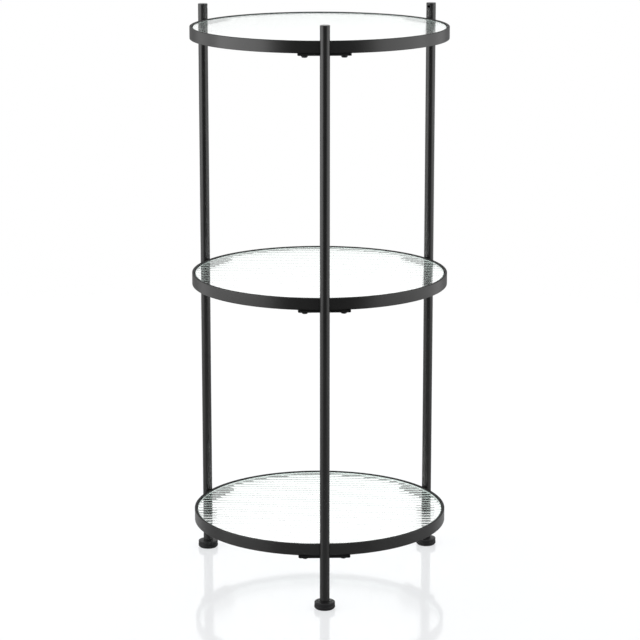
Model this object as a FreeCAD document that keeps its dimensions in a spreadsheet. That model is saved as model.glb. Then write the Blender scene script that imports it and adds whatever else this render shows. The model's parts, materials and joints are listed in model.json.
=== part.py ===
import FreeCAD, Part
import math
import os
import Sketcher

# Tiered side table: three tube posts carry three flat-bar hoops, and each hoop holds a reeded glass disc.
# Millimetres. +Z is up, z = 0 is the floor, and the origin is the centre of the footprint.
# The front post stands on the -Y side. The hoops share one vertical axis, a little behind the origin.

SIZES = {
    # hoops, and the heights of their top edges above the floor
    "tier_radius": 160,
    "hoop_thickness": 3,
    "hoop_depth": 15,
    "hoop_edge": 0.4,
    "bottom_tier_height": 80,
    "middle_tier_height": 388,
    "top_tier_height": 696,
    # flat tabs welded inside the bottom of each hoop over the brackets, and what lies on them
    "tab_end": 4.5,
    "tab_thickness": 4,
    "bumper_radius": 4,
    "bumper_height": 2,
    "glass_thickness": 8,
    "glass_gap": 1,
    "glass_arris": 0.5,
    "rib_pitch": 10,
    "rib_depth": 0.8,
    # posts
    "post_radius": 6,
    "post_wall": 1.5,
    "post_rise": 19,
    "post_standoff": 0.2,
    "vent_radius": 1.8,
    "vent_drop": 4.4,
    "vent_turn": 25,
    "cap_thickness": 1.5,
    "cap_edge": 0.5,
    "cap_spigot": 0.8,
    "cap_fit": 0.1,
    # brackets welded to the posts, and the screws up through them into the tabs
    "bracket_length": 63.5,
    "bracket_width": 18,
    "bracket_thickness": 2.5,
    "bracket_corner": 3,
    "bracket_bevel_length": 4.2,
    "bracket_bevel_height": 2,
    "bracket_overhang": 1,
    "weld_gap": 0.05,
    "screw_spread": 47,
    "screw_radius": 2,
    "screw_head_radius": 4,
    "screw_head_height": 3.1,
    "screw_head_edge": 1.3,
    "screw_clearance": 0.25,
    "thread_fit": 0.05,
    # levelling feet
    "pad_radius": 12.8,
    "pad_height": 5,
    "pad_chamfer": 1.9,
    "pad_edge": 0.5,
    "pad_floor": 1.2,
    "wheel_radius": 12.6,
    "wheel_height": 4.4,
    "wheel_side": 3.5,
    "wheel_shoulder": 0.6,
    "wheel_crown": 0.3,
    "wheel_land": 8,
    "wheel_fit": 0.02,
    "stem_reach": 20,
    "stem_tip": 0.8,
    "flange_lip": 2,
    "flange_height": 1.6,
    "swivel_clearance": 0.1,
    "insert_wall": 1.38,
    "insert_length": 12,
    "insert_lead": 0.6,
    "insert_fit": 0.02,
}

POSTS = {"front": -90, "rear_right": 30, "rear_left": 150}
TIERS = ("bottom", "middle", "top")

# Relations between the sizes, in the document's own expression language.
HOOP_INNER = "(Sizes.tier_radius - Sizes.hoop_thickness)"
TAB_OUTER = "(%s - Sizes.weld_gap)" % HOOP_INNER
GLASS_RADIUS = "(%s - Sizes.glass_gap)" % HOOP_INNER
RIB_COUNT = "ceil(2 * %s / Sizes.rib_pitch)" % GLASS_RADIUS
RIB_RADIUS = "((Sizes.rib_pitch ^ 2 / 4 + Sizes.rib_depth ^ 2) / (2 * Sizes.rib_depth))"
POST_CIRCLE = "(Sizes.tier_radius + Sizes.post_standoff + Sizes.post_radius)"
POST_BORE = "(Sizes.post_radius - Sizes.post_wall)"
FOOT_HEIGHT = "(Sizes.pad_height + Sizes.wheel_height)"
POST_TOP = "(Sizes.top_tier_height + Sizes.post_rise - Sizes.cap_thickness)"
BRACKET_FRONT = "(Sizes.tier_radius + Sizes.bracket_overhang)"
BRACKET_BACK = "(%s - Sizes.bracket_width)" % BRACKET_FRONT
SCREW_ROW = "(%s - Sizes.bracket_width / 2)" % BRACKET_FRONT
STEM_BORE = "(%s - Sizes.insert_fit - Sizes.insert_wall)" % POST_BORE
STEM_RADIUS = "(%s - Sizes.swivel_clearance)" % STEM_BORE
FLANGE_RADIUS = "(%s + Sizes.flange_lip)" % STEM_RADIUS
AXIS_BACK = "((%s + Sizes.pad_radius - Sizes.tier_radius) / 2)" % POST_CIRCLE

doc = FreeCAD.newDocument("TieredSideTable")
sheet = doc.addObject("Spreadsheet::Sheet", "Sizes")
for row, (alias, value) in enumerate(SIZES.items(), start=1):
    sheet.set("A%d" % row, alias)
    sheet.set("B%d" % row, str(value))
    sheet.setAlias("B%d" % row, alias)
doc.recompute()

subParts = []


# Helpers for bodies, sketches and features

def newBody(label, manySolids=False):
    body = doc.addObject("PartDesign::Body", label)
    body.Label = label
    body.AllowCompound = manySolids
    subParts.append(body)
    return body


def originFeature(body, role):
    return next(feature for feature in body.Origin.OriginFeatures if feature.Role == role)


def newSketch(body, role):
    sketch = body.newObject("Sketcher::SketchObject", body.Name + "_sketch")
    sketch.AttachmentSupport = [(originFeature(body, role), "")]
    sketch.MapMode = "FlatFace"
    return sketch


def worth(sketch, expression):
    # what an expression of the sheet's sizes comes to now
    return float(sketch.evalExpression(expression))


def bind(sketch, kind, elements, expression):
    constraint = Sketcher.Constraint(kind, *elements, worth(sketch, expression))
    number = sketch.addConstraint(constraint)
    sketch.setExpression("Constraints[%d]" % number, expression)


def pinPoint(sketch, geometry, point, across, up):
    # -1, 1 is the sketch's origin
    bind(sketch, "DistanceX", (-1, 1, geometry, point), across)
    bind(sketch, "DistanceY", (-1, 1, geometry, point), up)


def drawCircle(sketch, radius, across="0", up="0"):
    centre = FreeCAD.Vector(worth(sketch, across), worth(sketch, up))
    circle = sketch.addGeometry(Part.Circle(centre, FreeCAD.Vector(0, 0, 1), worth(sketch, radius)))
    bind(sketch, "Radius", (circle,), radius)
    pinPoint(sketch, circle, 3, across, up)


def joinEnds(sketch, joins):
    # each join is a curve and its end, then another curve and its end, where 1 is a start and 2 an end
    for ends in joins:
        sketch.addConstraint(Sketcher.Constraint("Coincident", *ends))


def drawLines(sketch, corners):
    points = [FreeCAD.Vector(worth(sketch, across), worth(sketch, up)) for across, up in corners]
    return [sketch.addGeometry(Part.LineSegment(*ends)) for ends in zip(points, points[1:])]


def drawOutline(sketch, corners):
    # a closed outline of straight lines, with every corner bound to two expressions
    lines = drawLines(sketch, corners + corners[:1])
    joinEnds(sketch, [(line, 2, following, 1) for line, following in zip(lines, lines[1:] + lines[:1])])
    for line, corner in zip(lines, corners):
        pinPoint(sketch, line, 1, *corner)


def pad(body, sketch, length):
    feature = body.newObject("PartDesign::Pad", body.Name + "_pad")
    feature.Profile = sketch
    feature.setExpression("Length", length)
    doc.recompute()
    return feature


def revolve(body, corners, sketch=None):
    # turns an outline of (radius, height) corners about the vertical axis of its sketch
    sketch = sketch or newSketch(body, "XZ_Plane")
    drawOutline(sketch, corners)
    feature = body.newObject("PartDesign::Revolution", body.Name + "_revolution")
    feature.Profile = sketch
    feature.ReferenceAxis = (sketch, ["V_Axis"])
    feature.Angle = 360
    doc.recompute()
    return feature


def cutThrough(body, sketch, reversedCut=False, bothWays=False):
    # cuts the sketch through the whole solid, and stops if nothing was removed
    before = body.Shape.Volume
    feature = body.newObject("PartDesign::Pocket", body.Name + "_cut")
    feature.Profile = sketch
    feature.Type = "ThroughAll"
    feature.Reversed = reversedCut
    feature.SideType = "Symmetric" if bothWays else "One side"
    doc.recompute()
    if body.Shape.Volume >= before:
        raise RuntimeError(feature.Name + " removes nothing")
    return feature


def dressEdges(body, kind, edgeNumbers, size):
    # kind is Fillet, sized by its Radius, or Chamfer, sized by its Size
    base = body.Tip
    feature = body.newObject("PartDesign::" + kind, body.Name + "_" + kind.lower())
    feature.Base = (base, ["Edge%d" % number for number in edgeNumbers])
    feature.setExpression("Radius" if kind == "Fillet" else "Size", size)
    doc.recompute()
    return feature


def circularEdges(shape):
    return [number for number, edge in enumerate(shape.Edges, start=1)
            if isinstance(edge.Curve, Part.Circle) and edge.isClosed()]


def topRim(shape):
    # the widest of the round edges at the top of the solid
    edges = [number for number in circularEdges(shape)
             if abs(shape.Edges[number - 1].CenterOfMass.z - shape.BoundBox.ZMax) < 1e-6]
    return [max(edges, key=lambda number: shape.Edges[number - 1].Curve.Radius)]


def uprightEdges(shape):
    return [number for number, edge in enumerate(shape.Edges, start=1)
            if isinstance(edge.Curve, Part.Line) and abs(edge.tangentAt(edge.FirstParameter).z) > 0.999]


def repeatAround(body, originals, count):
    pattern = body.newObject("PartDesign::PolarPattern", body.Name + "_around")
    pattern.Originals = originals
    pattern.Axis = (originFeature(body, "Z_Axis"), [""])
    pattern.Angle = 360
    pattern.setExpression("Occurrences", count)
    body.Tip = pattern
    doc.recompute()
    return pattern


def placeBody(body, height, across="0", back=AXIS_BACK, turn="0"):
    body.Placement = FreeCAD.Placement(FreeCAD.Vector(), FreeCAD.Rotation(FreeCAD.Vector(0, 0, 1), 1))
    body.setExpression("Placement.Base.x", across)
    body.setExpression("Placement.Base.y", back)
    body.setExpression("Placement.Base.z", height)
    body.setExpression("Placement.Rotation.Angle", turn)


def turnFromFront(post):
    # for a piece that is drawn at the front post
    return str(POSTS[post] - POSTS["front"])


def placeAtPost(body, post, height, turn="0"):
    angle = POSTS[post]
    across = "%s * cos(%d deg)" % (POST_CIRCLE, angle)
    back = "%s + %s * sin(%d deg)" % (AXIS_BACK, POST_CIRCLE, angle)
    placeBody(body, height, across, back, turn)


# Hoop, tabs, bumpers and glass of one tier

def hoopBottom(tier):
    return "(Sizes.%s_tier_height - Sizes.hoop_depth)" % tier


def makeHoop(tier):
    body = newBody("hoop_" + tier)
    revolve(body, [
        (HOOP_INNER, "0"),
        ("Sizes.tier_radius", "0"),
        ("Sizes.tier_radius", "Sizes.hoop_depth"),
        (HOOP_INNER, "Sizes.hoop_depth"),
    ])
    dressEdges(body, "Chamfer", circularEdges(body.Shape), "Sizes.hoop_edge")
    placeBody(body, hoopBottom(tier))


def drawScrewPair(sketch, radius):
    for side in (-1, 1):
        drawCircle(sketch, radius, "%d * Sizes.screw_spread / 2" % side, "-" + SCREW_ROW)


def drawTab(sketch):
    # the outer edge is an arc inside the hoop, and the inner edge is straight, above the bracket's
    radius = worth(sketch, TAB_OUTER)
    halfLength = "(Sizes.screw_spread / 2 + Sizes.tab_end)"
    halfAngle = math.asin(worth(sketch, halfLength) / radius)
    down = -math.pi / 2
    circle = Part.Circle(FreeCAD.Vector(), FreeCAD.Vector(0, 0, 1), radius)
    edge = sketch.addGeometry(Part.ArcOfCircle(circle, down - halfAngle, down + halfAngle))
    arcEnd = "-sqrt(%s ^ 2 - (%s) ^ 2)" % (TAB_OUTER, halfLength)
    right, inner, left = drawLines(sketch, [
        (halfLength, arcEnd),
        (halfLength, "-" + BRACKET_BACK),
        ("-" + halfLength, "-" + BRACKET_BACK),
        ("-" + halfLength, arcEnd),
    ])
    joinEnds(sketch, [(edge, 2, right, 1), (right, 2, inner, 1), (inner, 2, left, 1), (left, 2, edge, 1)])
    bind(sketch, "Radius", (edge,), TAB_OUTER)
    pinPoint(sketch, edge, 3, "0", "0")
    bind(sketch, "DistanceX", (-1, 1, edge, 1), "-" + halfLength)
    bind(sketch, "DistanceX", (-1, 1, edge, 2), halfLength)
    pinPoint(sketch, inner, 1, halfLength, "-" + BRACKET_BACK)
    pinPoint(sketch, inner, 2, "-" + halfLength, "-" + BRACKET_BACK)


def makeTab(tier, post):
    body = newBody("glass_tab_%s_%s" % (tier, post))
    plate = newSketch(body, "XY_Plane")
    drawTab(plate)
    pad(body, plate, "Sizes.tab_thickness")
    holes = newSketch(body, "XY_Plane")
    drawScrewPair(holes, "Sizes.screw_radius + Sizes.thread_fit")
    cutThrough(body, holes, reversedCut=True)
    placeBody(body, hoopBottom(tier), turn=turnFromFront(post))


def makeBumpers(tier):
    body = newBody("glass_bumpers_" + tier, manySolids=True)
    sketch = newSketch(body, "XY_Plane")
    drawCircle(sketch, "Sizes.bumper_radius", "0", "-(%s + %s) / 2" % (TAB_OUTER, BRACKET_BACK))
    bumper = pad(body, sketch, "Sizes.bumper_height")
    repeatAround(body, [bumper], str(len(POSTS)))
    placeBody(body, hoopBottom(tier) + " + Sizes.tab_thickness")


def drawValley(sketch):
    # the hollow between two ribs, under two arcs that rise from the crests and meet halfway between them
    middle = "(1 - %s) / 2 * Sizes.rib_pitch" % RIB_COUNT
    crests = (middle + " - Sizes.rib_pitch / 2", middle + " + Sizes.rib_pitch / 2")
    radius = worth(sketch, RIB_RADIUS)
    halfAngle = math.asin(worth(sketch, "Sizes.rib_pitch") / 2 / radius)
    down = -math.pi / 2
    arcs = []
    for crest, startAngle, endAngle in zip(crests, (down, down - halfAngle), (down + halfAngle, down)):
        centre = FreeCAD.Vector(worth(sketch, crest), radius)
        circle = Part.Circle(centre, FreeCAD.Vector(0, 0, 1), radius)
        arcs.append(sketch.addGeometry(Part.ArcOfCircle(circle, startAngle, endAngle)))
    left, right = arcs
    outline = [(crests[0], "0"), (crests[0], "-Sizes.rib_depth"), (crests[1], "-Sizes.rib_depth"),
               (crests[1], "0")]
    side, base, otherSide = drawLines(sketch, outline)
    joinEnds(sketch, [(left, 2, right, 1), (left, 1, side, 1), (side, 2, base, 1), (base, 2, otherSide, 1),
                      (otherSide, 2, right, 2)])
    pinPoint(sketch, left, 3, crests[0], RIB_RADIUS)
    bind(sketch, "DistanceX", (-1, 1, right, 3), crests[1])
    bind(sketch, "DistanceX", (-1, 1, left, 2), middle)
    pinPoint(sketch, side, 1, *outline[0])
    pinPoint(sketch, base, 1, *outline[1])
    pinPoint(sketch, otherSide, 1, *outline[2])
    pinPoint(sketch, otherSide, 2, *outline[3])


def makeGlass(tier):
    body = newBody("glass_" + tier)
    sketch = newSketch(body, "XY_Plane")
    drawCircle(sketch, GLASS_RADIUS)
    pad(body, sketch, "Sizes.glass_thickness")
    dressEdges(body, "Chamfer", topRim(body.Shape), "Sizes.glass_arris")
    valley = newSketch(body, "YZ_Plane")
    drawValley(valley)
    firstCut = cutThrough(body, valley, bothWays=True)
    reeding = body.newObject("PartDesign::LinearPattern", body.Name + "_reeding")
    reeding.Originals = [firstCut]
    reeding.Direction = (originFeature(body, "Y_Axis"), [""])
    reeding.setExpression("Length", "(%s - 1) * Sizes.rib_pitch" % RIB_COUNT)
    reeding.setExpression("Occurrences", RIB_COUNT)
    body.Tip = reeding
    doc.recompute()
    placeBody(body, hoopBottom(tier) + " + Sizes.tab_thickness + Sizes.bumper_height")


# Post and its cap

def makePost(post):
    body = newBody("post_" + post)
    sketch = newSketch(body, "XY_Plane")
    drawCircle(sketch, "Sizes.post_radius")
    drawCircle(sketch, POST_BORE)
    pad(body, sketch, "%s - %s" % (POST_TOP, FOOT_HEIGHT))
    vent = newSketch(body, "YZ_Plane")
    drawCircle(vent, "Sizes.vent_radius", "0",
               "%s + Sizes.cap_thickness - %s - Sizes.vent_drop" % (POST_TOP, FOOT_HEIGHT))
    cutThrough(body, vent, reversedCut=True)
    placeAtPost(body, post, FOOT_HEIGHT, "%d + Sizes.vent_turn" % (POSTS[post] + 180))


def makeCap(post):
    body = newBody("post_cap_" + post)
    revolve(body, [
        ("0", "-Sizes.cap_spigot"),
        ("%s - Sizes.cap_fit" % POST_BORE, "-Sizes.cap_spigot"),
        ("%s - Sizes.cap_fit" % POST_BORE, "0"),
        ("Sizes.post_radius", "0"),
        ("Sizes.post_radius", "Sizes.cap_thickness"),
        ("0", "Sizes.cap_thickness"),
    ])
    dressEdges(body, "Fillet", topRim(body.Shape), "Sizes.cap_edge")
    placeAtPost(body, post, POST_TOP)


# Bracket and the screws of one tier

def bracketBottom(tier):
    return "(%s - Sizes.bracket_thickness)" % hoopBottom(tier)


def drawBevels(sketch, halfLength):
    # a wedge under each end of the bracket, drawn to twice the bevel's length so that it runs out past the end
    for side in (-1, 1):
        start = "%d * (%s - Sizes.bracket_bevel_length)" % (side, halfLength)
        end = "%d * (%s + Sizes.bracket_bevel_length)" % (side, halfLength)
        drawOutline(sketch, [(start, "0"), (end, "0"), (end, "2 * Sizes.bracket_bevel_height")])


def makeBracket(tier, post):
    body = newBody("bracket_%s_%s" % (tier, post))
    plate = newSketch(body, "XY_Plane")
    halfLength = "Sizes.bracket_length / 2"
    drawOutline(plate, [
        ("-" + halfLength, "-" + BRACKET_FRONT),
        (halfLength, "-" + BRACKET_FRONT),
        (halfLength, "-" + BRACKET_BACK),
        ("-" + halfLength, "-" + BRACKET_BACK),
    ])
    pad(body, plate, "Sizes.bracket_thickness")
    dressEdges(body, "Fillet", uprightEdges(body.Shape), "Sizes.bracket_corner")
    bevels = newSketch(body, "XZ_Plane")
    drawBevels(bevels, halfLength)
    cutThrough(body, bevels, bothWays=True)
    openings = newSketch(body, "XY_Plane")
    drawScrewPair(openings, "Sizes.screw_radius + Sizes.screw_clearance")
    drawCircle(openings, "Sizes.post_radius + Sizes.weld_gap", "0", "-" + POST_CIRCLE)
    cutThrough(body, openings, reversedCut=True)
    placeBody(body, bracketBottom(tier), turn=turnFromFront(post))


def makeScrews(tier):
    body = newBody("bracket_screws_" + tier, manySolids=True)
    sketch = newSketch(body, "XZ_Plane")
    sketch.setExpression("AttachmentOffset.Base.x", "Sizes.screw_spread / 2")
    sketch.setExpression("AttachmentOffset.Base.z", SCREW_ROW)
    shankTop = "Sizes.bracket_thickness + Sizes.tab_thickness"
    screw = revolve(body, [
        ("0", "-Sizes.screw_head_height"),
        ("Sizes.screw_head_radius - Sizes.screw_head_edge", "-Sizes.screw_head_height"),
        ("Sizes.screw_head_radius", "Sizes.screw_head_edge - Sizes.screw_head_height"),
        ("Sizes.screw_head_radius", "0"),
        ("Sizes.screw_radius", "0"),
        ("Sizes.screw_radius", shankTop),
        ("0", shankTop),
    ], sketch)
    copies = body.newObject("PartDesign::MultiTransform", body.Name + "_copies")
    copies.Originals = [screw]
    mirror = body.newObject("PartDesign::Mirrored", body.Name + "_mirror")
    mirror.MirrorPlane = (originFeature(body, "YZ_Plane"), [""])
    around = body.newObject("PartDesign::PolarPattern", body.Name + "_around")
    around.Axis = (originFeature(body, "Z_Axis"), [""])
    around.Angle = 360
    around.Occurrences = len(POSTS)
    copies.Transformations = [mirror, around]
    body.Tip = copies
    doc.recompute()
    placeBody(body, bracketBottom(tier))


# Levelling foot: a wheel and a stem turn in the pad and screw into the insert at the end of the post

def makeInsert(post):
    body = newBody("post_insert_" + post)
    outer = "(%s - Sizes.insert_fit)" % POST_BORE
    revolve(body, [
        (STEM_BORE, "0"),
        (outer, "0"),
        (outer, "Sizes.insert_length - Sizes.insert_lead"),
        (outer + " - Sizes.insert_lead", "Sizes.insert_length"),
        (STEM_BORE, "Sizes.insert_length"),
    ])
    placeAtPost(body, post, FOOT_HEIGHT)


def makePad(post):
    body = newBody("foot_pad_" + post)
    pocketRadius = "(%s + Sizes.swivel_clearance)" % FLANGE_RADIUS
    pocketTop = "Sizes.pad_floor + Sizes.flange_height + 2 * Sizes.swivel_clearance"
    revolve(body, [
        ("0", "0"),
        ("Sizes.pad_radius - Sizes.pad_chamfer", "0"),
        ("Sizes.pad_radius", "Sizes.pad_chamfer"),
        ("Sizes.pad_radius", "Sizes.pad_height - Sizes.pad_edge"),
        ("Sizes.pad_radius - Sizes.pad_edge", "Sizes.pad_height"),
        (STEM_BORE, "Sizes.pad_height"),
        (STEM_BORE, pocketTop),
        (pocketRadius, pocketTop),
        (pocketRadius, "Sizes.pad_floor"),
        ("0", "Sizes.pad_floor"),
    ])
    placeAtPost(body, post, "0")


def makeWheel(post):
    body = newBody("foot_wheel_" + post)
    bore = "(%s + Sizes.wheel_fit)" % STEM_RADIUS
    revolve(body, [
        (bore, "0"),
        ("Sizes.wheel_radius", "0"),
        ("Sizes.wheel_radius", "Sizes.wheel_side"),
        ("Sizes.wheel_radius - Sizes.wheel_shoulder", "Sizes.wheel_height - Sizes.wheel_crown"),
        ("Sizes.wheel_land", "Sizes.wheel_height"),
        (bore, "Sizes.wheel_height"),
    ])
    placeAtPost(body, post, "Sizes.pad_height")


def makeStem(post):
    body = newBody("foot_stem_" + post)
    flangeBottom = "Sizes.pad_floor + Sizes.swivel_clearance"
    flangeTop = flangeBottom + " + Sizes.flange_height"
    tip = "%s + Sizes.stem_reach" % FOOT_HEIGHT
    revolve(body, [
        ("0", flangeBottom),
        (FLANGE_RADIUS, flangeBottom),
        (FLANGE_RADIUS, flangeTop),
        (STEM_RADIUS, flangeTop),
        (STEM_RADIUS, tip + " - Sizes.stem_tip"),
        (STEM_RADIUS + " - Sizes.stem_tip", tip),
        ("0", tip),
    ])
    placeAtPost(body, post, "0")


for tierName in TIERS:
    makeHoop(tierName)
    makeBumpers(tierName)
    makeGlass(tierName)
    makeScrews(tierName)
    for postName in POSTS:
        makeTab(tierName, postName)
        makeBracket(tierName, postName)

for postName in POSTS:
    makePost(postName)
    makeCap(postName)
    makeInsert(postName)
    makePad(postName)
    makeWheel(postName)
    makeStem(postName)

doc.recompute()

for item in doc.Objects:
    if "Invalid" in item.State or "Error" in item.State:
        raise RuntimeError("%s failed: %s" % (item.Name, item.State))
for body in subParts:
    if body.Shape.isNull() or not body.Shape.isValid():
        raise RuntimeError(body.Label + " has no valid shape")

os.makedirs("parts", exist_ok=True)
for body in subParts:
    body.Shape.exportStep("parts/%s.step" % body.Label)
    print(body.Label, len(body.Shape.Solids), round(body.Shape.Volume, 1))
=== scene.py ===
import bmesh
import bpy
import json
import math
from mathutils import Euler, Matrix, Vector


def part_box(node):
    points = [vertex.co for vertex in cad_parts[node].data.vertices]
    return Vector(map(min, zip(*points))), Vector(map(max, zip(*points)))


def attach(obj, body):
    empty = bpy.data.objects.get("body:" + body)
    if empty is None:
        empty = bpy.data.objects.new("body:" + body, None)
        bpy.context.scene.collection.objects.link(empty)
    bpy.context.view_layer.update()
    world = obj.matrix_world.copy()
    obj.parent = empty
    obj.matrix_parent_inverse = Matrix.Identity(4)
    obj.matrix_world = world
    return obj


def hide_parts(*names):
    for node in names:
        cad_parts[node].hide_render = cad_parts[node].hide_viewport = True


# Looks for a three-tier round side table: black flat-bar hoops on tube posts, with loose reeded glass discs.
# Metres, +Z up, the front post on the -Y side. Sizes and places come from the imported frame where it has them.

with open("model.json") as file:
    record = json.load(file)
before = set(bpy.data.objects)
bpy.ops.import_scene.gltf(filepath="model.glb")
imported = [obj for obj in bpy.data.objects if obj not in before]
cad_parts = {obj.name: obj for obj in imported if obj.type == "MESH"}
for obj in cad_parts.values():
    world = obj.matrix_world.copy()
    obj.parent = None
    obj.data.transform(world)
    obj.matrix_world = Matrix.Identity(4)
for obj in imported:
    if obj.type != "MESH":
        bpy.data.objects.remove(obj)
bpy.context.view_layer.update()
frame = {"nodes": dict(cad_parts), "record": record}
print("frame loaded with", len(frame["nodes"]), "nodes")

tiers = ("bottom", "middle", "top")
postAngles = {"front": -90, "rear_right": 30, "rear_left": 150}  # degrees round the hoops' axis
mounts = {mount["name"]: Vector(mount["pos_m"]) for mount in frame["record"]["mounts"]}
hoopAxis = mounts["shelf_top"].xy.to_3d()
postPlaces = {post: mounts["rest_" + post] for post in postAngles}
postRadius = 0.006
mm = 0.001
drillSpare = 4 * mm  # a drill is this much longer than the plate it goes through
mergeDistance = 0.000001


def pick(thing):
    bpy.ops.object.select_all(action="DESELECT")
    thing.select_set(True)
    bpy.context.view_layer.objects.active = thing


def startEdit(thing):
    pick(thing)
    bpy.ops.object.mode_set(mode="EDIT")
    bpy.ops.mesh.select_mode(type="VERT")
    bpy.ops.mesh.select_all(action="SELECT")


def endEdit():
    bpy.ops.object.mode_set(mode="OBJECT")


def choose(thing, kind, test):
    # in edit mode, selects only the edges or faces that pass the test
    bpy.ops.mesh.select_mode(type=kind)
    bpy.ops.mesh.select_all(action="DESELECT")
    shape = bmesh.from_edit_mesh(thing.data)
    for item in {"EDGE": shape.edges, "FACE": shape.faces}[kind]:
        if test(item):
            item.select_set(True)
    bmesh.update_edit_mesh(thing.data)


def newPrimitive(kind, **settings):
    bpy.ops.object.select_all(action="DESELECT")
    getattr(bpy.ops.mesh, "primitive_%s_add" % kind)(**settings)
    thing = bpy.context.object
    bpy.ops.object.transform_apply(location=True, rotation=True, scale=True)
    return thing


def startPoint(place):
    # a mesh of one vertex, left in edit mode for a profile to be drawn from it
    thing = newPrimitive("plane", size=mm)
    startEdit(thing)
    bpy.ops.mesh.merge(type="CENTER")
    bpy.ops.mesh.select_all(action="SELECT")
    bpy.ops.transform.translate(value=place)
    return thing


def applyModifier(thing, kind, **settings):
    pick(thing)
    modifier = thing.modifiers.new(kind, kind)
    for name, value in settings.items():
        setattr(modifier, name, value)
    bpy.ops.object.modifier_apply(modifier=modifier.name)


def softenEdges(thing, width, segments=3, angle=30):
    applyModifier(thing, "BEVEL", width=width, segments=segments, limit_method="ANGLE",
                  angle_limit=math.radians(angle), harden_normals=False)


def cutWith(thing, tool, operation="DIFFERENCE"):
    applyModifier(thing, "BOOLEAN", object=tool, operation=operation, solver="EXACT")
    bpy.data.objects.remove(tool)


def joinAll(things):
    pick(things[0])
    for thing in things:
        thing.select_set(True)
    bpy.ops.object.join()
    return bpy.context.object


def copyOf(thing):
    pick(thing)
    bpy.ops.object.duplicate(linked=False)
    return bpy.context.object


def turnAbout(thing, centre, degrees):
    # turns a piece round an upright line through the centre
    pick(thing)
    turn = Euler((0, 0, math.radians(degrees)))
    turnedCentre = centre.copy()
    turnedCentre.rotate(turn)
    thing.rotation_euler = turn
    thing.location = centre - turnedCentre
    bpy.ops.object.transform_apply(location=True, rotation=True, scale=True)
    return thing


def moveBy(thing, offset):
    pick(thing)
    thing.location = offset
    bpy.ops.object.transform_apply(location=True, rotation=True, scale=True)
    return thing


def turnToPost(thing, post):
    # what is made at the front post goes round to another one
    return turnAbout(thing, hoopAxis, postAngles[post] - postAngles["front"])


def lathe(steps, sides, closed=False):
    # draws a circle up through (radius, height) steps; a closed profile ends where it began, as on a ring
    radius, height = steps[0]
    thing = newPrimitive("circle", vertices=sides, radius=radius, location=(0, 0, height),
                         fill_type="NOTHING" if closed else "NGON")
    startEdit(thing)
    for nextRadius, nextHeight in steps[1:] + (steps[:1] if closed else []):
        bpy.ops.mesh.extrude_region_move(TRANSFORM_OT_translate={"value": (0, 0, nextHeight - height)})
        factor = nextRadius / radius
        bpy.ops.transform.resize(value=(factor, factor, 1), center_override=(0, 0, nextHeight))
        radius, height = nextRadius, nextHeight
    bpy.ops.mesh.select_all(action="SELECT")
    bpy.ops.mesh.remove_doubles(threshold=mergeDistance)
    bpy.ops.mesh.normals_make_consistent(inside=False)
    endEdit()
    return thing


def quarterArc(middle, across, rise, count):
    # (radius, height) steps of a quarter turn, from outwards to upwards, or to downwards for a negative rise
    angles = [math.radians(90 * k / count) for k in range(count + 1)]
    return [(middle[0] + across * math.cos(a), middle[1] + rise * math.sin(a)) for a in angles]


def finishPiece(thing, name, coat, body, nodes, smoothAngle=35, weighted=True):
    pick(thing)
    if coat:
        thing.data.materials.append(coat)
    bpy.ops.object.shade_smooth_by_angle(angle=math.radians(smoothAngle))
    if weighted:
        applyModifier(thing, "WEIGHTED_NORMAL", keep_sharp=True)
    thing.name = name
    thing.data.name = name
    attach(thing, body)
    if nodes:
        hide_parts(*nodes)


class Wire:
    # an output socket that can be written into sums and products, each of which adds a Math node
    def __init__(self, paint, socket):
        self.paint = paint
        self.socket = socket

    def __add__(self, other):
        return self.paint.maths("ADD", self, other)

    __radd__ = __add__

    def __sub__(self, other):
        return self.paint.maths("SUBTRACT", self, other)

    def __rsub__(self, other):
        return self.paint.maths("SUBTRACT", other, self)

    def __mul__(self, other):
        return self.paint.maths("MULTIPLY", self, other)

    __rmul__ = __mul__


class Paint:
    # a node tree that is written line by line
    def __init__(self, tree):
        self.tree = tree
        tree.nodes.clear()

    def node(self, kind, settings=None, inputs=None, output=0):
        made = self.tree.nodes.new(kind)
        for name, value in (settings or {}).items():
            setattr(made, name, value)
        for name, value in (inputs or {}).items():
            self.feed(made.inputs[name], value)
        return Wire(self, made.outputs[output]) if made.outputs else made

    def feed(self, socket, value):
        if isinstance(value, Wire):
            self.tree.links.new(value.socket, socket)
        else:
            socket.default_value = value

    def maths(self, operation, *terms):
        return self.node("ShaderNodeMath", {"operation": operation}, dict(enumerate(terms)))

    def mixColour(self, factor, first, second):
        return self.node("ShaderNodeMix", {"data_type": "RGBA"}, {0: factor, 6: first, 7: second}, output=2)

    def mixShader(self, factor, first, second):
        return self.node("ShaderNodeMixShader", None, {0: factor, 1: first, 2: second})

    def place(self, stretch=(1, 1, 1)):
        # the object's own coordinates, stretched along each axis
        coords = self.node("ShaderNodeTexCoord", output="Object")
        return self.node("ShaderNodeMapping", None, {"Vector": coords, "Scale": stretch})

    def part(self, vector, axis):
        return self.node("ShaderNodeSeparateXYZ", None, {"Vector": vector}, output=axis)

    def noise(self, where, scale, detail=2):
        return self.node("ShaderNodeTexNoise", None, {"Vector": where, "Scale": scale, "Detail": detail})

    def stretchRange(self, value, fromLow, fromHigh, toLow=0, toHigh=1, smooth=False):
        kind = "SMOOTHSTEP" if smooth else "LINEAR"
        return self.node("ShaderNodeMapRange", {"interpolation_type": kind},
                         {0: value, 1: fromLow, 2: fromHigh, 3: toLow, 4: toHigh})

    def bump(self, height, distance, strength):
        return self.node("ShaderNodeBump", None,
                         {"Height": height, "Distance": distance, "Strength": strength})

    def ray(self, kind):
        return self.node("ShaderNodeLightPath", output="Is %s Ray" % kind)

    def surface(self, inputs):
        self.show(self.node("ShaderNodeBsdfPrincipled", None, inputs))

    def show(self, shader):
        self.node("ShaderNodeOutputMaterial", None, {"Surface": shader})


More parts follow.
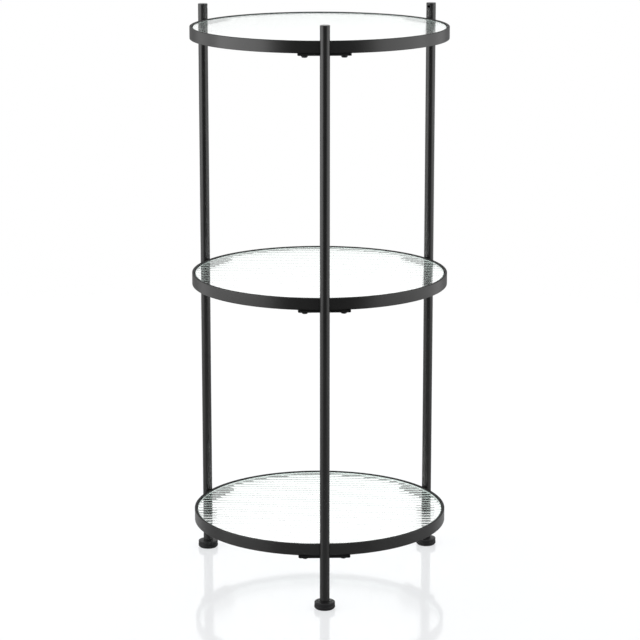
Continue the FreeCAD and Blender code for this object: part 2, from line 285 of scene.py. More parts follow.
def newCoat(name):
    coat = bpy.data.materials.new(name)
    coat.use_nodes = True
    return coat, Paint(coat.node_tree)


# In each finish a Scale is a noise's scale, a Share its part in a sum, and Dulls what it adds to the
# roughness. The depth, in metres, and the strength are those of the bump.

# black powder coat on the steel: an orange-peel skin with a fine grain in it
powder = {"colours": ((0.0042, 0.0042, 0.0041, 1), (0.0072, 0.0072, 0.0069, 1)), "contrast": (0.35, 0.65),
          "cloudScale": 14, "speckScale": 2600, "peelScale": 620, "grainScale": 3100, "cloudShare": 0.6,
          "speckShare": 0.4, "peelShare": 0.8, "grainShare": 0.2, "cloudDulls": 0.06, "grainDulls": 0.05,
          "depth": 0.00002, "strength": 0.6}
satin = {"roughness": 0.23, "specular": 0.5}
# settings of the duller copy of the coat, which serves as painted shade
dull = {"roughness": 0.50, "specular": 0.18}


def makePowderCoat(name, roughness, specular):
    coat, paint = newCoat(name)
    where = paint.place()
    cloud = paint.noise(where, powder["cloudScale"], detail=3)
    speck = paint.noise(where, powder["speckScale"], detail=1)
    peel = paint.noise(where, powder["peelScale"])
    grain = paint.noise(where, powder["grainScale"])
    mottle = cloud * powder["cloudShare"] + speck * powder["speckShare"]
    skin = peel * powder["peelShare"] + grain * powder["grainShare"]
    paint.surface({"Base Color": paint.mixColour(paint.stretchRange(mottle, *powder["contrast"]),
                                                 *powder["colours"]),
                   "Roughness": roughness + cloud * powder["cloudDulls"] + grain * powder["grainDulls"],
                   "Specular IOR Level": specular,
                   "Normal": paint.bump(skin, powder["depth"], powder["strength"])})
    return coat


# black oxide on the screws, scratched round by the key
oxide = {"colours": ((0.012, 0.012, 0.013, 1), (0.034, 0.033, 0.032, 1)), "metallic": 0.55, "roughness": 0.30,
         "cloudDulls": 0.16, "cloudScale": 240, "scratchScale": 900, "scratchStretch": (1, 1, 14),
         "scratchShare": 0.6, "cloudShare": 0.4, "depth": 0.00002, "strength": 0.5}


def makeBlackOxide():
    coat, paint = newCoat("blackOxideSteel")
    cloud = paint.noise(paint.place(), oxide["cloudScale"], detail=4)
    scratch = paint.noise(paint.place(oxide["scratchStretch"]), oxide["scratchScale"])
    relief = scratch * oxide["scratchShare"] + cloud * oxide["cloudShare"]
    paint.surface({"Base Color": paint.mixColour(cloud, *oxide["colours"]),
                   "Metallic": oxide["metallic"],
                   "Roughness": oxide["roughness"] + cloud * oxide["cloudDulls"],
                   "Normal": paint.bump(relief, oxide["depth"], oxide["strength"])})
    return coat


# moulded nylon of the feet, with the fine pebble of its mould
nylon = {"colours": ((0.006, 0.006, 0.0065, 1), (0.012, 0.012, 0.013, 1)), "roughness": 0.42,
         "specular": 0.32, "cloudDulls": 0.12, "cloudScale": 60, "grainScale": 1900, "depth": 0.00004,
         "strength": 0.45}


def makeNylon():
    coat, paint = newCoat("blackMouldedNylon")
    where = paint.place()
    grain = paint.node("ShaderNodeTexVoronoi", {"feature": "SMOOTH_F1"},
                       {"Vector": where, "Scale": nylon["grainScale"]})
    cloud = paint.noise(where, nylon["cloudScale"], detail=3)
    paint.surface({"Base Color": paint.mixColour(cloud, *nylon["colours"]),
                   "Roughness": nylon["roughness"] + cloud * nylon["cloudDulls"],
                   "Specular IOR Level": nylon["specular"],
                   "Normal": paint.bump(grain, nylon["depth"], nylon["strength"])})
    return coat


# zinc plate on the stems and inserts, with the marks of turning round them
zinc = {"colours": ((0.55, 0.57, 0.60, 1), (0.70, 0.69, 0.66, 1)), "roughness": 0.24, "cloudDulls": 0.14,
        "cloudScale": 320, "turnedScale": 500, "turnedStretch": (0.2, 0.2, 30), "depth": 0.00002,
        "strength": 0.5}


def makeZincPlate():
    coat, paint = newCoat("zincPlatedSteel")
    cloud = paint.noise(paint.place(), zinc["cloudScale"], detail=4)
    turned = paint.noise(paint.place(zinc["turnedStretch"]), zinc["turnedScale"])
    paint.surface({"Base Color": paint.mixColour(cloud, *zinc["colours"]),
                   "Metallic": 1,
                   "Roughness": zinc["roughness"] + cloud * zinc["cloudDulls"],
                   "Normal": paint.bump(turned, zinc["depth"], zinc["strength"])})
    return coat


# bare steel where the vent holes are drilled through the coat
steel = {"colours": ((0.50, 0.50, 0.49, 1), (0.72, 0.71, 0.69, 1)), "roughness": 0.28, "drillDulls": 0.2,
         "drillScale": 2400, "depth": 0.00002, "strength": 0.5}


def makeBareSteel():
    coat, paint = newCoat("drilledBareSteel")
    drill = paint.noise(paint.place(), steel["drillScale"], detail=3)
    paint.surface({"Base Color": paint.mixColour(drill, *steel["colours"]),
                   "Metallic": 1,
                   "Roughness": steel["roughness"] + drill * steel["drillDulls"],
                   "Normal": paint.bump(drill, steel["depth"], steel["strength"])})
    return coat


# clear soft rubber of the bumpers
rubber = {"colours": ((0.86, 0.87, 0.85, 1), (0.93, 0.93, 0.91, 1)), "roughness": 0.22, "cloudDulls": 0.1,
          "cloudScale": 500, "ior": 1.49, "clearness": 0.85}


def makeBumperRubber():
    coat, paint = newCoat("clearSoftBumper")
    cloud = paint.noise(paint.place(), rubber["cloudScale"])
    paint.surface({"Base Color": paint.mixColour(cloud, *rubber["colours"]),
                   "Roughness": rubber["roughness"] + cloud * rubber["cloudDulls"],
                   "IOR": rubber["ior"],
                   "Transmission Weight": rubber["clearness"]})
    return coat


# clear glass with faint streaks, a slow wave from casting and a few smudges
glass = {"colours": ((0.982, 0.997, 0.990, 1), (0.974, 0.993, 0.984, 1)), "streakStretch": (6, 60, 1),
         "roughness": 0.004, "smudgeDulls": 0.018, "smudgeScale": 22, "smudgeRange": (0.56, 0.78),
         "ior": 1.52, "waveStretch": (9, 30, 9), "waveDepth": 0.0002, "waveStrength": 0.15}


def makeReededGlass():
    coat, paint = newCoat("clearReededGlass")
    streak = paint.noise(paint.place(glass["streakStretch"]), 1, detail=3)
    smudge = paint.noise(paint.place(), glass["smudgeScale"], detail=5)
    smudge = paint.stretchRange(smudge, *glass["smudgeRange"])
    wave = paint.noise(paint.place(glass["waveStretch"]), 1)
    paint.surface({"Base Color": paint.mixColour(streak, *glass["colours"]),
                   "Roughness": glass["roughness"] + smudge * glass["smudgeDulls"],
                   "IOR": glass["ior"],
                   "Transmission Weight": 1,
                   "Normal": paint.bump(wave, glass["waveDepth"], glass["waveStrength"])})
    return coat


# the discs' edge, ground matt and nearly opaque
ground = {"colours": ((0.74, 0.88, 0.82, 1), (0.86, 0.96, 0.92, 1)), "bandScale": 60,
          "bandStretch": (1, 1, 40), "roughness": 0.30, "gritDulls": 0.15, "gritScale": 1500,
          "clearness": 0.05, "depth": 0.00003, "strength": 0.5}


def makeGroundEdge():
    coat, paint = newCoat("groundGlassEdge")
    grit = paint.noise(paint.place(), ground["gritScale"], detail=3)
    band = paint.noise(paint.place(ground["bandStretch"]), ground["bandScale"])
    paint.surface({"Base Color": paint.mixColour(band, *ground["colours"]),
                   "Roughness": ground["roughness"] + grit * ground["gritDulls"],
                   "IOR": glass["ior"],
                   "Transmission Weight": ground["clearness"],
                   "Normal": paint.bump(grit, ground["depth"], ground["strength"])})
    return coat


powderCoat = makePowderCoat("satinBlackPowder", **satin)
dullShadeCoat = makePowderCoat("dullShadeBlackPowder", **dull)  # a duller, less glossy copy of the coat: painted shade on the hoops' top edges and the bracket plates
blackOxide = makeBlackOxide()
mouldedNylon = makeNylon()
zincPlate = makeZincPlate()
bareSteel = makeBareSteel()
bumperRubber = makeBumperRubber()
reededGlass = makeReededGlass()
groundEdge = makeGroundEdge()
print("finishes ready")


# hoops of rolled flat bar
hoop = {"radius": 0.160, "thickness": 0.003, "edge": 0.0006, "sides": 288, "topFacing": 0.4}
hoopBore = hoop["radius"] - hoop["thickness"]


def makeHoop(tier):
    low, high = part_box("hoop_" + tier)
    bar = lathe([(hoopBore, low.z), (hoop["radius"], low.z), (hoop["radius"], high.z), (hoopBore, high.z)],
                hoop["sides"], closed=True)
    softenEdges(bar, hoop["edge"])
    moveBy(bar, hoopAxis)
    bar.data.materials.append(powderCoat)
    bar.data.materials.append(dullShadeCoat)
    # the top faces take the duller coat: painted shade that keeps the hoop's top edge dark
    for face in bar.data.polygons:
        face.material_index = 1 if face.normal.z > hoop["topFacing"] else 0
    finishPiece(bar, "hoop_bar_" + tier, None, "frame", ["hoop_" + tier])


for tier in tiers:
    makeHoop(tier)
print("hoops ready")


# brackets under the hoops, glass tabs inside them, and the screws that join the two; a screw stands
# halfSpread from the bracket's middle and row from the hoops' axis, and its head is level within flat
screw = {"halfSpread": 0.0235, "row": 0.152, "shank": 0.002, "shankTip": 0.0005, "hole": 0.00225,
         "head": 0.004, "brim": 0.0009, "brimEdge": 0.0002, "flat": 0.0022, "domeSteps": 7, "sides": 32,
         "socket": 0.0016, "socketSides": 6, "socketDepth": 0.0017, "turn": 37}
bracket = {"corner": 0.003, "cornerSteps": 6, "bevelLength": 0.0042, "bevelHeight": 0.002, "postGap": 0.00005,
           "holeSides": 96, "edge": {"width": 0.0003, "segments": 2, "angle": 20}}
tab = {"hoopGap": 0.00005, "innerEdge": 0.143, "end": 0.0045, "sides": 320,
       "edge": {"width": 0.0003, "segments": 2}}
tabRadius = hoopBore - tab["hoopGap"]
tabHalfLength = screw["halfSpread"] + tab["end"]


def screwHoles(low, high, radius):
    holes = []
    for side in (-1, 1):
        place = (side * screw["halfSpread"], hoopAxis.y - screw["row"], (low + high) / 2)
        holes.append(newPrimitive("cylinder", vertices=screw["sides"], radius=radius,
                                  depth=high - low + drillSpare, location=place))
    return joinAll(holes)


def cutAway(place, outwards):
    # in edit mode, takes off all that lies beyond a plane and closes the cut
    bpy.ops.mesh.select_all(action="SELECT")
    bpy.ops.mesh.bisect(plane_co=place, plane_no=outwards, use_fill=True, clear_outer=True)


def makeBracketPlate(tier):
    low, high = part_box("bracket_%s_front" % tier)
    middle = (low + high) / 2
    plate = newPrimitive("cube", size=1, location=middle, scale=high - low)
    startEdit(plate)
    choose(plate, "EDGE", lambda edge: abs(edge.verts[0].co.z - edge.verts[1].co.z) > mm)  # the upright ones
    bpy.ops.mesh.bevel(offset=bracket["corner"], segments=bracket["cornerSteps"], affect="EDGES")
    for side in (-1, 1):
        cutAway((side * (high.x - bracket["bevelLength"]), 0, low.z),
                (side * bracket["bevelHeight"], 0, -bracket["bevelLength"]))
    endEdit()
    softenEdges(plate, **bracket["edge"])
    postHole = newPrimitive("cylinder", vertices=bracket["holeSides"], radius=postRadius + bracket["postGap"],
                            depth=high.z - low.z + drillSpare,
                            location=postPlaces["front"] + Vector((0, 0, middle.z)))
    cutWith(plate, postHole)
    cutWith(plate, screwHoles(low.z, high.z, screw["hole"]))
    return plate


def makeTabPlate(tier):
    low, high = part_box("glass_tab_%s_front" % tier)
    plate = newPrimitive("cylinder", vertices=tab["sides"], radius=tabRadius, depth=high.z - low.z,
                         location=(0, 0, (low.z + high.z) / 2))
    startEdit(plate)
    cutAway((0, -tab["innerEdge"], 0), (0, 1, 0))
    for side in (1, -1):
        cutAway((side * tabHalfLength, 0, 0), (side, 0, 0))
    endEdit()
    moveBy(plate, hoopAxis)
    softenEdges(plate, **tab["edge"])
    cutWith(plate, screwHoles(low.z, high.z, screw["shank"]))
    return plate


def makeScrew():
    # the head hangs below the bracket, and the shank runs up through the tab
    headLow, shankTop = (corner.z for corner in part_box("bracket_screws_top"))
    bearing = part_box("bracket_top_front")[0].z
    brimLow = bearing - screw["brim"]
    steps = [(screw["shank"] - screw["shankTip"], shankTop), (screw["shank"], shankTop - screw["shankTip"]),
             (screw["shank"], bearing), (screw["head"] - screw["brimEdge"], bearing),
             (screw["head"], bearing - screw["brimEdge"])]
    steps += quarterArc((screw["flat"], brimLow), screw["head"] - screw["flat"], headLow - brimLow,
                        screw["domeSteps"])
    body = lathe(steps, screw["sides"])
    socket = newPrimitive("cylinder", vertices=screw["socketSides"], radius=screw["socket"],
                          depth=2 * screw["socketDepth"], location=(0, 0, headLow))
    cutWith(body, socket)
    return body


def makeScrewSet(tier, model):
    copies = []
    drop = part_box("bracket_screws_" + tier)[0].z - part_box("bracket_screws_top")[0].z
    for number, post in enumerate(postAngles):
        for side in (-1, 1):
            copy = copyOf(model)
            turnAbout(copy, Vector(), screw["turn"] * (2 * number + side))  # each stops at its own angle
            moveBy(copy, Vector((side * screw["halfSpread"], hoopAxis.y - screw["row"], drop)))
            copies.append(turnToPost(copy, post))
    finishPiece(joinAll(copies), "screw_set_" + tier, blackOxide, "frame",
                ["bracket_screws_" + tier])


def makePlateSet(tier, kind, plate, coat):
    for post in postAngles:
        finishPiece(turnToPost(copyOf(plate), post), "%s_plate_%s_%s" % (kind, tier, post), coat, "frame",
                    ["%s_%s_%s" % (kind, tier, post)])
    bpy.data.objects.remove(plate)


screwModel = makeScrew()
for tier in tiers:
    # the brackets take the duller coat: painted shade for their place under the hoops
    makePlateSet(tier, "bracket", makeBracketPlate(tier), dullShadeCoat)
    makePlateSet(tier, "glass_tab", makeTabPlate(tier), powderCoat)
    makeScrewSet(tier, screwModel)
bpy.data.objects.remove(screwModel)
print("brackets, tabs and screws ready")


# weld beads where the brackets meet the posts, on the side that faces the hoops' axis
weld = {"facing": 90, "reach": 52, "drops": 9, "dropRadius": 0.0011, "swell": 0.08, "dropSplits": 3,
        "out": 0.0003, "voxel": 0.00028, "melt": 0.5, "meltTimes": 2, "smoothAngle": 80}


def makeWelds(tier):
    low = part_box("bracket_%s_front" % tier)[0].z
    drops = []
    for k in range(weld["drops"]):
        angle = math.radians(weld["facing"] + weld["reach"] * (2 * k / (weld["drops"] - 1) - 1))
        out = postRadius + weld["out"]
        place = postPlaces["front"] + Vector((out * math.cos(angle), out * math.sin(angle), low))
        drops.append(newPrimitive("ico_sphere", subdivisions=weld["dropSplits"], location=place,
                                  radius=weld["dropRadius"] * (1 + weld["swell"] * (k % 2))))
    bead = joinAll(drops)
    applyModifier(bead, "REMESH", mode="VOXEL", voxel_size=weld["voxel"])
    applyModifier(bead, "SMOOTH", factor=weld["melt"], iterations=weld["meltTimes"])
    beads = [turnToPost(copyOf(bead), post) for post in postAngles]
    bpy.data.objects.remove(bead)
    finishPiece(joinAll(beads), "weld_beads_" + tier, powderCoat, "frame", [],
                smoothAngle=weld["smoothAngle"], weighted=False)


for tier in tiers:
    makeWelds(tier)
print("weld beads ready")


# clear bumpers that the glass rests on, in the middle of each tab
bumper = {"radius": 0.004, "sides": 40,
          "side": ((0.0004, 0), (0.0001, 0.25), (0, 0.5), (0.0003, 0.8)),  # insets and shares of the height
          "crown": ((0.0008, 0.00005), (0.0014, 0))}  # insets and drops from the top
bumperRow = (tab["innerEdge"] + tabRadius) / 2


def makeBumperSet(tier):
    low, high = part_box("glass_bumpers_" + tier)
    tall = high.z - low.z
    steps = [(bumper["radius"] - inset, low.z + tall * share) for inset, share in bumper["side"]]
    steps += [(bumper["radius"] - inset, high.z - drop) for inset, drop in bumper["crown"]]
    model = lathe(steps, bumper["sides"])
    copies = []
    for post in postAngles:
        copy = moveBy(copyOf(model), Vector((0, hoopAxis.y - bumperRow, 0)))
        copies.append(turnToPost(copy, post))
    bpy.data.objects.remove(model)
    finishPiece(joinAll(copies), "bumper_set_" + tier, bumperRubber, "frame",
                ["glass_bumpers_" + tier])


for tier in tiers:
    makeBumperSet(tier)
print("bumpers ready")


# reeded glass discs; spare is what stands above the top face until the round cut, and the edge is ground in
# to groundDepth from the rim
disc = {"hoopGap": 0.001, "arris": 0.0005, "ribPitch": 0.010, "ribDepth": 0.0008, "ribSteps": 10,
        "ribMerge": 0.00001, "sides": 288, "spare": 0.004, "topFacing": 0.999, "flatAngle": 0.2,
        "groundDepth": 0.0004, "groundFacing": 0.95, "smoothAngle": 28}
discRadius = hoopBore - disc["hoopGap"]


def makeRibbedBlank(low, high):
    # one rib is an arc, which is repeated across, drawn out along X and given its thickness
    pitch, depth = disc["ribPitch"], disc["ribDepth"]
    count = math.ceil(2 * discRadius / pitch)
    ribRadius = (pitch ** 2 / 4 + depth ** 2) / (2 * depth)  # of a circle through two valleys and a crest
    halfAngle = math.asin(pitch / 2 / ribRadius)
    span = (count + 1) * pitch
    firstCrest = -count / 2 * pitch
    blankTop = high + disc["spare"]
    blank = startPoint((-span / 2, firstCrest - pitch / 2, low + depth))
    bpy.ops.mesh.spin(steps=disc["ribSteps"], angle=2 * halfAngle, axis=(-1, 0, 0),
                      center=(-span / 2, firstCrest, low + ribRadius))
    endEdit()
    applyModifier(blank, "ARRAY", count=count + 1, use_relative_offset=False, use_constant_offset=True,
                  constant_offset_displace=(0, pitch, 0), use_merge_vertices=True,
                  merge_threshold=disc["ribMerge"])
    startEdit(blank)
    bpy.ops.mesh.extrude_region_move(TRANSFORM_OT_translate={"value": (span, 0, 0)})
    bpy.ops.mesh.select_all(action="SELECT")
    bpy.ops.mesh.extrude_region_move(TRANSFORM_OT_translate={"value": (0, 0, blankTop - low)})
    bpy.ops.transform.resize(value=(1, 1, 0), center_override=(0, 0, blankTop))
    bpy.ops.mesh.select_all(action="SELECT")
    bpy.ops.mesh.normals_make_consistent(inside=False)
    endEdit()
    return blank


def cutGlassRound(blank, low, high):
    cutter = lathe([(discRadius, low - mm), (discRadius, high - disc["arris"]),
                    (discRadius - disc["arris"], high)], disc["sides"])
    cutWith(blank, cutter, "INTERSECT")
    startEdit(blank)
    choose(blank, "FACE", lambda face: face.normal.z > disc["topFacing"])
    bpy.ops.mesh.dissolve_limited(angle_limit=math.radians(disc["flatAngle"]))
    endEdit()
    return blank


def paintGlassEdge(thing):
    thing.data.materials.append(reededGlass)
    thing.data.materials.append(groundEdge)
    for face in thing.data.polygons:
        outside = face.center.xy.length > discRadius - disc["groundDepth"]
        face.material_index = 1 if outside and abs(face.normal.z) < disc["groundFacing"] else 0


def makeGlass():
    low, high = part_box("glass_top")
    model = cutGlassRound(makeRibbedBlank(low.z, high.z), low.z, high.z)
    paintGlassEdge(model)
    for tier in tiers:
        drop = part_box("glass_" + tier)[0].z - low.z
        copy = moveBy(copyOf(model), hoopAxis + Vector((0, 0, drop)))
        finishPiece(copy, "reeded_disc_" + tier, None, "glass_" + tier, ["glass_" + tier],
                    smoothAngle=disc["smoothAngle"], weighted=False)
        copy.visible_shadow = False  # light passes through to the floor and the tiers below
    bpy.data.objects.remove(model)


makeGlass()
print("glass ready")


# tube posts with their end caps; the vent lies ventDrop below the cap's top and faces the hoops' axis, but
# for ventTurn degrees
tube = {"wall": 0.0015, "sides": 64, "rim": {"width": 0.00015, "segments": 2}, "ventRadius": 0.0018,
        "ventDrop": 0.0044, "ventTurn": 25, "ventZone": 0.003, "ventSides": 48, "drillLength": 0.008}
cap = {"edge": 0.0005, "edgeSteps": 5, "lip": 0.0001, "spigot": 0.0008, "spigotFit": 0.0001}
tubeBore = postRadius - tube["wall"]


def makePost(post):
    low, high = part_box("post_" + post)
    shell = lathe([(tubeBore, low.z), (postRadius, low.z), (postRadius, high.z), (tubeBore, high.z)],
                  tube["sides"], closed=True)
    softenEdges(shell, **tube["rim"])
    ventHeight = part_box("post_cap_" + post)[1].z - tube["ventDrop"]
    startEdit(shell)
    for step in (-tube["ventZone"], tube["ventZone"]):  # edge rings that keep the long faces out of the cut
        bpy.ops.mesh.select_all(action="SELECT")
        bpy.ops.mesh.bisect(plane_co=(0, 0, ventHeight + step), plane_no=(0, 0, 1))
    endEdit()
    drill = newPrimitive("cylinder", vertices=tube["ventSides"], radius=tube["ventRadius"],
                         depth=tube["drillLength"], location=(postRadius, 0, ventHeight),
                         rotation=(0, math.radians(90), 0))
    for thing in (shell, drill):
        thing.data.materials.append(powderCoat)
        thing.data.materials.append(bareSteel)
    for face in drill.data.polygons:
        face.material_index = 1
    cutWith(shell, drill)
    turnAbout(shell, Vector(), postAngles[post] + 180 + tube["ventTurn"])  # half a turn faces the hoops' axis
    moveBy(shell, postPlaces[post])
    finishPiece(shell, "post_tube_" + post, None, "frame", ["post_" + post])


def makeCap(post):
    low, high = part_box("post_cap_" + post)
    spigot = tubeBore - cap["spigotFit"]
    seat = low.z + cap["spigot"]
    steps = [(spigot, low.z), (spigot, seat), (postRadius - cap["lip"], seat),
             (postRadius, seat + cap["lip"])]
    steps += quarterArc((postRadius - cap["edge"], high.z - cap["edge"]), cap["edge"], cap["edge"],
                        cap["edgeSteps"])
    finishPiece(moveBy(lathe(steps, tube["sides"]), postPlaces[post]), "post_end_" + post, powderCoat,
                "frame", ["post_cap_" + post])


for post in postAngles:
    makePost(post)
    makeCap(post)
print("posts ready")


# levelling feet: pad, hand wheel, threaded stem, and the insert that guides it in the post; each side of the
# thread rises by flank of the pitch, and its base lies sunk in the core
stem = {"core": 0.00248, "ridge": 0.0030, "pitch": 0.001, "flank": 0.44, "sunk": 0.0001, "steps": 32,
        "sides": 48, "tip": 0.0008, "tipShare": 0.7, "runOut": 0.0005, "threadDrop": 0.0004,
        "flange": 0.005, "flangeHeight": 0.0016, "play": 0.0001}
pad = {"radius": 0.0128, "bottomEdge": 0.0019, "topEdge": 0.0005, "floor": 0.0012, "pocketTop": 0.0030,
       "sides": 96, "edge": {"width": 0.00025, "segments": 3, "angle": 25}}
wheel = {"radius": 0.0126, "fit": 0.00002, "bottomEdge": 0.0003, "side": 0.0035, "shoulder": 0.0006,
         "crown": 0.0003, "land": 0.008, "landSlope": 0.0012, "landDrop": 0.00012, "sides": 96,
         "edge": {"width": 0.0005, "segments": 4, "angle": 20}}
bush = {"fit": 0.00002, "leadIn": 0.0004, "topEdge": 0.0006}
stemBore = stem["ridge"] + stem["play"]


def makePad(post):
    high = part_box("foot_pad_" + post)[1].z
    radius, bottomEdge, topEdge = pad["radius"], pad["bottomEdge"], pad["topEdge"]
    pocket = stem["flange"] + stem["play"]
    steps = [(radius - bottomEdge, 0), (radius, bottomEdge), (radius, high - topEdge),
             (radius - topEdge, high), (stemBore, high), (stemBore, pad["pocketTop"]),
             (pocket, pad["pocketTop"]), (pocket, pad["floor"])]
    thing = lathe(steps, pad["sides"])
    softenEdges(thing, **pad["edge"])
    finishPiece(moveBy(thing, postPlaces[post]), "glide_pad_" + post, mouldedNylon, "foot_pad_" + post,
                ["foot_pad_" + post])


def makeWheel(post):
    low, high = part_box("foot_wheel_" + post)
    radius, bottomEdge, land = wheel["radius"], wheel["bottomEdge"], wheel["land"]
    bore = stem["ridge"] + wheel["fit"]
    steps = [(bore, low.z), (radius - bottomEdge, low.z), (radius, low.z + bottomEdge),
             (radius, low.z + wheel["side"]), (radius - wheel["shoulder"], high.z - wheel["crown"]),
             (land + wheel["landSlope"], high.z - wheel["landDrop"]), (land, high.z), (bore, high.z)]
    thing = lathe(steps, wheel["sides"], closed=True)
    softenEdges(thing, **wheel["edge"])
    finishPiece(moveBy(thing, postPlaces[post]), "glide_wheel_" + post, mouldedNylon, "foot_screw_" + post,
                ["foot_wheel_" + post])


def makeThread(bottom, top):
    # a sharp ridge that winds round the core; its base lies inside the core
    turns = int((top - bottom) / stem["pitch"]) - 1
    rise = stem["ridge"] - stem["core"] + stem["sunk"]
    thing = startPoint((stem["core"] - stem["sunk"], 0, bottom + stem["sunk"]))
    for outwards in (rise, -rise):
        move = (outwards, 0, stem["pitch"] * stem["flank"])
        bpy.ops.mesh.extrude_region_move(TRANSFORM_OT_translate={"value": move})
    bpy.ops.mesh.select_all(action="SELECT")
    bpy.ops.mesh.edge_face_add()
    bpy.ops.mesh.delete(type="ONLY_FACE")
    endEdit()
    applyModifier(thing, "SCREW", angle=math.radians(360), screw_offset=stem["pitch"], iterations=turns,
                  steps=stem["steps"], render_steps=stem["steps"], use_merge_vertices=False)
    startEdit(thing)
    bpy.ops.mesh.select_all(action="DESELECT")
    bpy.ops.mesh.select_mode(type="EDGE")
    bpy.ops.mesh.select_non_manifold()  # the open ends of the ridge
    bpy.ops.mesh.edge_face_add()
    bpy.ops.mesh.select_all(action="SELECT")
    bpy.ops.mesh.normals_make_consistent(inside=False)
    endEdit()
    return thing


def makeStem(post):
    low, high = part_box("foot_stem_" + post)
    flangeTop = low.z + stem["flangeHeight"]
    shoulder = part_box("foot_wheel_" + post)[1].z
    threadLow = shoulder - stem["runOut"]
    steps = [(stem["flange"], low.z), (stem["flange"], flangeTop), (stem["ridge"], flangeTop),
             (stem["ridge"], threadLow), (stem["core"], shoulder), (stem["core"], high.z - stem["tip"]),
             (stem["core"] - stem["tip"] * stem["tipShare"], high.z)]
    core = lathe(steps, stem["sides"])
    thread = makeThread(threadLow, high.z - stem["threadDrop"])
    finishPiece(moveBy(joinAll([core, thread]), postPlaces[post]), "threaded_stem_" + post, zincPlate,
                "foot_screw_" + post, ["foot_stem_" + post], weighted=False)


def makeInsert(post):
    low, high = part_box("post_insert_" + post)
    outer = tubeBore - bush["fit"]
    steps = [(stemBore, low.z + bush["leadIn"]), (stemBore + bush["leadIn"], low.z), (outer, low.z),
             (outer, high.z - bush["topEdge"]), (outer - bush["topEdge"], high.z), (stemBore, high.z)]
    finishPiece(moveBy(lathe(steps, tube["sides"], closed=True), postPlaces[post]), "insert_bush_" + post,
                zincPlate, "frame", ["post_insert_" + post])


for post in postAngles:
    makePad(post)
    makeWheel(post)
    makeStem(post)
    makeInsert(post)
print("feet ready")


# studio floor: glossy paper that shows white to the camera and through the glass; it fades out between two
# radii, and what is mirrored of it goes from one glow to the other over mirrorReach along Y
paper = {"radius": 3.0, "sides": 128, "fade": (0.8, 1.8), "colour": (0.62, 0.625, 0.63, 1), "roughness": 0.05,
         "cloudDulls": 0.04, "cloudScale": 3, "seenColour": (0.28, 0.283, 0.287, 1),
         "seenGlow": (0.604, 0.611, 0.620, 1), "throughGlow": 0.90, "mirrorGlow": (0.04, 0.22),
         "mirrorReach": (-0.3, 0.5)}


def grey(level):
    return (level, level, level, 1)


def makeFloor():
    coat, paint = newCoat("whiteStudioFloor")
    radius = paint.node("ShaderNodeVectorMath", {"operation": "LENGTH"}, {0: paint.place()}, output="Value")
    fade = paint.stretchRange(radius, *paper["fade"], smooth=True)
    cloud = paint.noise(paint.place(), paper["cloudScale"], detail=3)
    mirrored = paint.ray("Glossy")
    through = paint.maths("MINIMUM", paint.node("ShaderNodeLightPath", output="Transmission Depth"), 1)
    seen = paint.maths("MAXIMUM", paint.maths("MAXIMUM", paint.ray("Camera"), mirrored), through)
    glow = paint.mixColour(seen, grey(0), paper["seenGlow"])
    reach = paint.stretchRange(paint.part(paint.place(), "Y"), *paper["mirrorReach"], smooth=True)
    front, back = paper["mirrorGlow"]
    glow = paint.mixColour(mirrored, glow, paint.mixColour(reach, grey(front), grey(back)))
    glow = paint.mixColour(through, glow, grey(paper["throughGlow"]))
    sheet = paint.node("ShaderNodeBsdfPrincipled", None, {
        "Base Color": paint.mixColour(seen, paper["colour"], paper["seenColour"]),
        "Roughness": paper["roughness"] + cloud * paper["cloudDulls"], "Emission Color": glow,
        "Emission Strength": 1})
    clear = paint.node("ShaderNodeBsdfTransparent")
    below = paint.node("ShaderNodeNewGeometry", output="Backfacing")  # clear from below, for the underside
    paint.show(paint.mixShader(paint.maths("MAXIMUM", fade, below), sheet, clear))
    floor = newPrimitive("circle", vertices=paper["sides"], radius=paper["radius"], fill_type="NGON")
    floor.name = "studio_floor"
    floor.data.materials.append(coat)


# world: even light on matt surfaces, while glossy ones mirror a white sky over a dim ground, which is paler
# behind the table and bright at the far left and right; behind, aside and rise are ranges of a direction
room = {"diffuse": 0.75, "dim": 0.14, "back": 0.3, "behind": (-0.1, 0.6), "side": 1.20, "aside": (0.45, 0.78),
        "rise": (0.02, 0.10)}


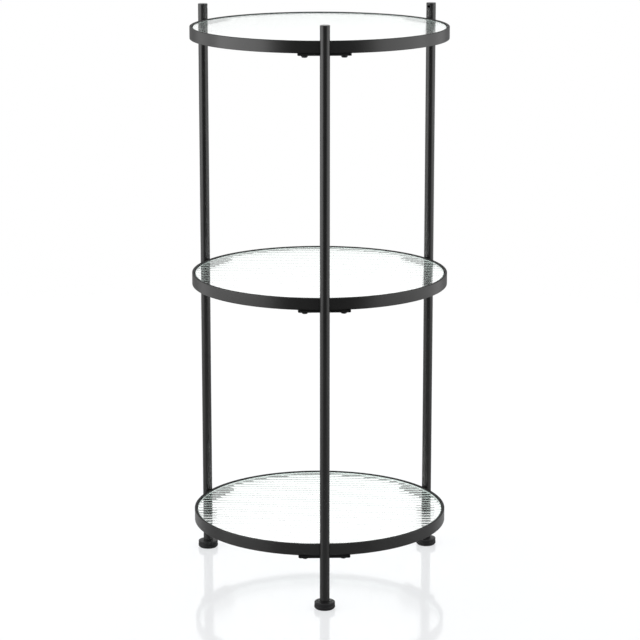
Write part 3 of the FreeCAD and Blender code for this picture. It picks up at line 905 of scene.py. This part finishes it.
def makeWorld():
    world = bpy.data.worlds.new("studioWorld")
    bpy.context.scene.world = world
    world.use_nodes = True
    paint = Paint(world.node_tree)
    through = paint.node("ShaderNodeLightPath", output="Transmission Depth")
    seen = paint.maths("MINIMUM", paint.ray("Camera") + through, 1)
    glossy = paint.ray("Glossy")
    direction = paint.node("ShaderNodeTexCoord", output="Generated")
    aside = paint.maths("ABSOLUTE", paint.part(direction, "X"))
    behind = paint.part(direction, "Y")
    below = paint.stretchRange(behind, *room["behind"], room["dim"], room["back"], smooth=True)
    walls = paint.stretchRange(aside, *room["aside"], 0, room["side"], smooth=True)
    low = paint.maths("MAXIMUM", below, walls)
    rise = paint.stretchRange(paint.part(direction, "Z"), *room["rise"], smooth=True)
    card = low + rise * (1 - low)
    level = paint.maths("MAXIMUM", glossy * card + (1 - glossy) * room["diffuse"], seen)
    background = paint.node("ShaderNodeBackground", None, {"Color": level})
    paint.node("ShaderNodeOutputWorld", None, {"Surface": background})


# two soft boxes, one at each side, a little in front of the table
lamps = {
    "leftBox": {"place": (-1.84, -0.54, 0.80), "size": (2.10, 1.55), "radiance": 1.85},
    "rightBox": {"place": (1.84, -0.50, 0.80), "size": (2.10, 1.50), "radiance": 1.00},
}
lampAim = Vector((0, 0, 0.38))


def makeLamp(name, place, size, radiance):
    lamp = bpy.data.lights.new(name, "AREA")
    lamp.shape = "RECTANGLE"
    lamp.size, lamp.size_y = size
    lamp.energy = radiance * math.pi * size[0] * size[1]
    thing = bpy.data.objects.new(name, lamp)
    bpy.context.scene.collection.objects.link(thing)
    thing.location = place
    thing.rotation_euler = (lampAim - thing.location).to_track_quat("-Z", "Y").to_euler()
    thing.visible_camera = False


# camera in front, a little to the left and looking slightly down
view = {"lens": 143.58, "sensor": 36, "farEnd": 100, "place": (-0.1177, -3.1273, 1.0485),
        "turn": (77.011, 0, -2.158)}


def makeCamera():
    camera = bpy.data.cameras.new("studioCamera")
    camera.lens = view["lens"]
    camera.sensor_width = view["sensor"]
    camera.clip_end = view["farEnd"]
    thing = bpy.data.objects.new("studioCamera", camera)
    bpy.context.scene.collection.objects.link(thing)
    thing.location = view["place"]
    thing.rotation_euler = [math.radians(angle) for angle in view["turn"]]
    bpy.context.scene.camera = thing


makeFloor()
makeWorld()
for name, settings in lamps.items():
    makeLamp(name, **settings)
makeCamera()
bpy.context.scene.view_settings.view_transform = "Standard"
glassBounces = 32  # light turns many times in the reeded glass
for kind in ("max_bounces", "glossy_bounces", "transmission_bounces"):
    setattr(bpy.context.scene.cycles, kind, glassBounces)
print("studio ready")
